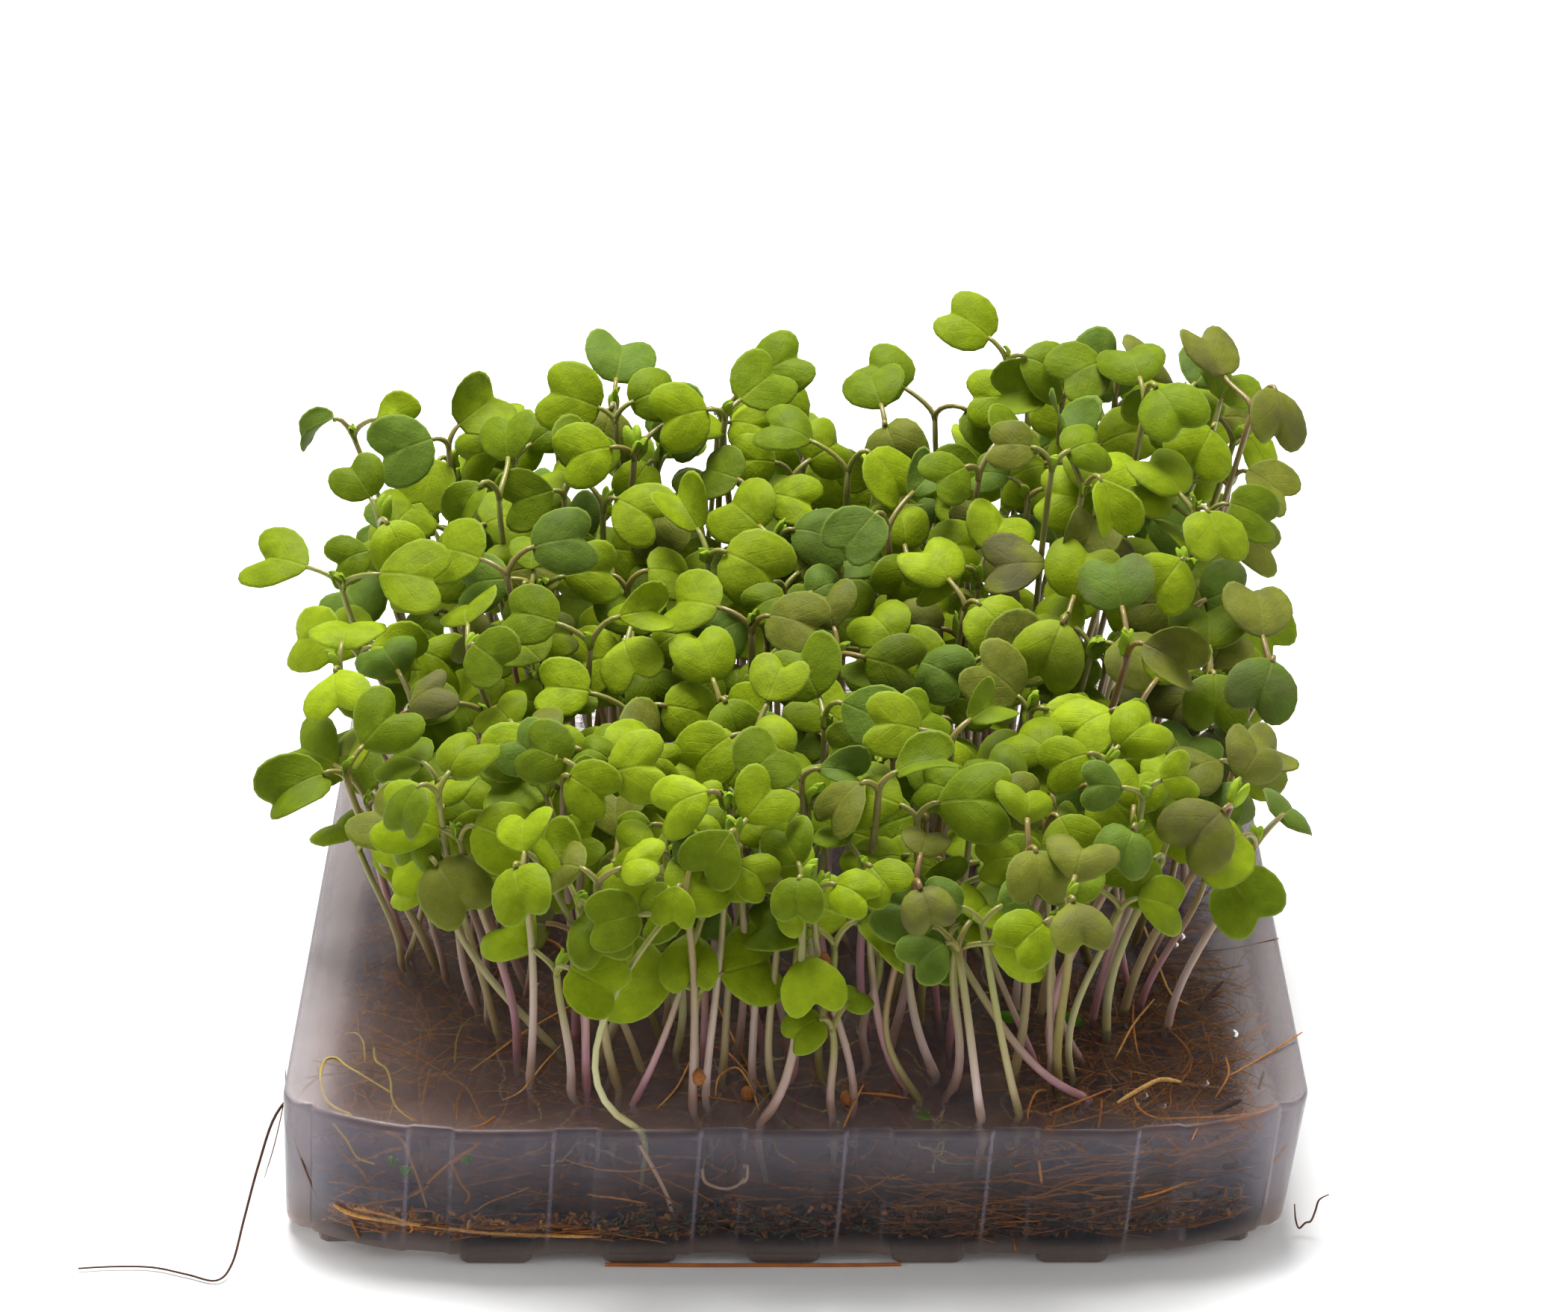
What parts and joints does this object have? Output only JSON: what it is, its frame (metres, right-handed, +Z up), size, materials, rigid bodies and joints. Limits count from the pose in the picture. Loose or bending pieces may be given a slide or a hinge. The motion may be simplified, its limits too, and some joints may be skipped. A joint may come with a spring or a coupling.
{
  "type": "microgreens in a gel slab",
  "caption": "Square slab of translucent growing gel with a coir mat cast inside it and brassica microgreens growing up out of it.",
  "frame": {"origin": "middle of the underside, on the foot of the middle rib, at the height of the table", "axes": "+Z up; +X to the right and -Y to the front, seen from the side whose corners are bare; the ribs of the underside run along Y"},
  "size_m": [0.1624, 0.1332, 0.0864],
  "materials": {
    "gel": "wet, translucent growing gel, milky violet-grey",
    "coir": "matt brown coconut fibre",
    "leaf": "waxy fresh green seed leaf",
    "stem": "smooth, juicy, pale green turning pink-lilac at the foot",
    "root": "pale fine root",
    "husk": "dry brown seed husk"
  },
  "bodies": {
    "root": {"gel_slab": "gel", "coir_mat": "coir", "coir_strand": "coir", "seedlings_01": "leaf", "seedlings_02": "leaf", "seedlings_03": "leaf", "seedlings_04": "leaf", "seedlings_05": "leaf", "seedlings_06": "leaf", "seedlings_07": "leaf", "seedlings_08": "leaf", "seedlings_09": "leaf", "seedlings_10": "leaf", "seedlings_11": "leaf", "seedlings_12": "leaf", "seedlings_13": "leaf", "seedlings_14": "leaf", "seedlings_15": "leaf", "seedlings_16": "leaf", "seedlings_17": "leaf", "seedlings_18": "leaf", "seedlings_19": "leaf", "seedlings_20": "leaf", "seedlings_21": "leaf", "seedlings_22": "leaf", "seedlings_23": "leaf", "seedlings_24": "leaf", "seedlings_25": "leaf", "seedlings_26": "leaf", "seedlings_27": "leaf", "seedlings_28": "leaf", "seedlings_29": "leaf", "seedlings_30": "leaf", "seedlings_31": "leaf", "seedlings_32": "leaf", "seedlings_33": "leaf", "seedlings_34": "leaf", "seedlings_35": "leaf", "seedlings_36": "leaf", "seedlings_37": "leaf", "seedlings_38": "leaf", "seedlings_39": "leaf", "seedlings_40": "leaf", "seedlings_41": "leaf", "seedlings_42": "leaf", "seedlings_43": "leaf", "seedlings_44": "leaf", "seedlings_45": "leaf", "seedlings_46": "leaf", "seedlings_47": "leaf"}
  },
  "joints": []
}
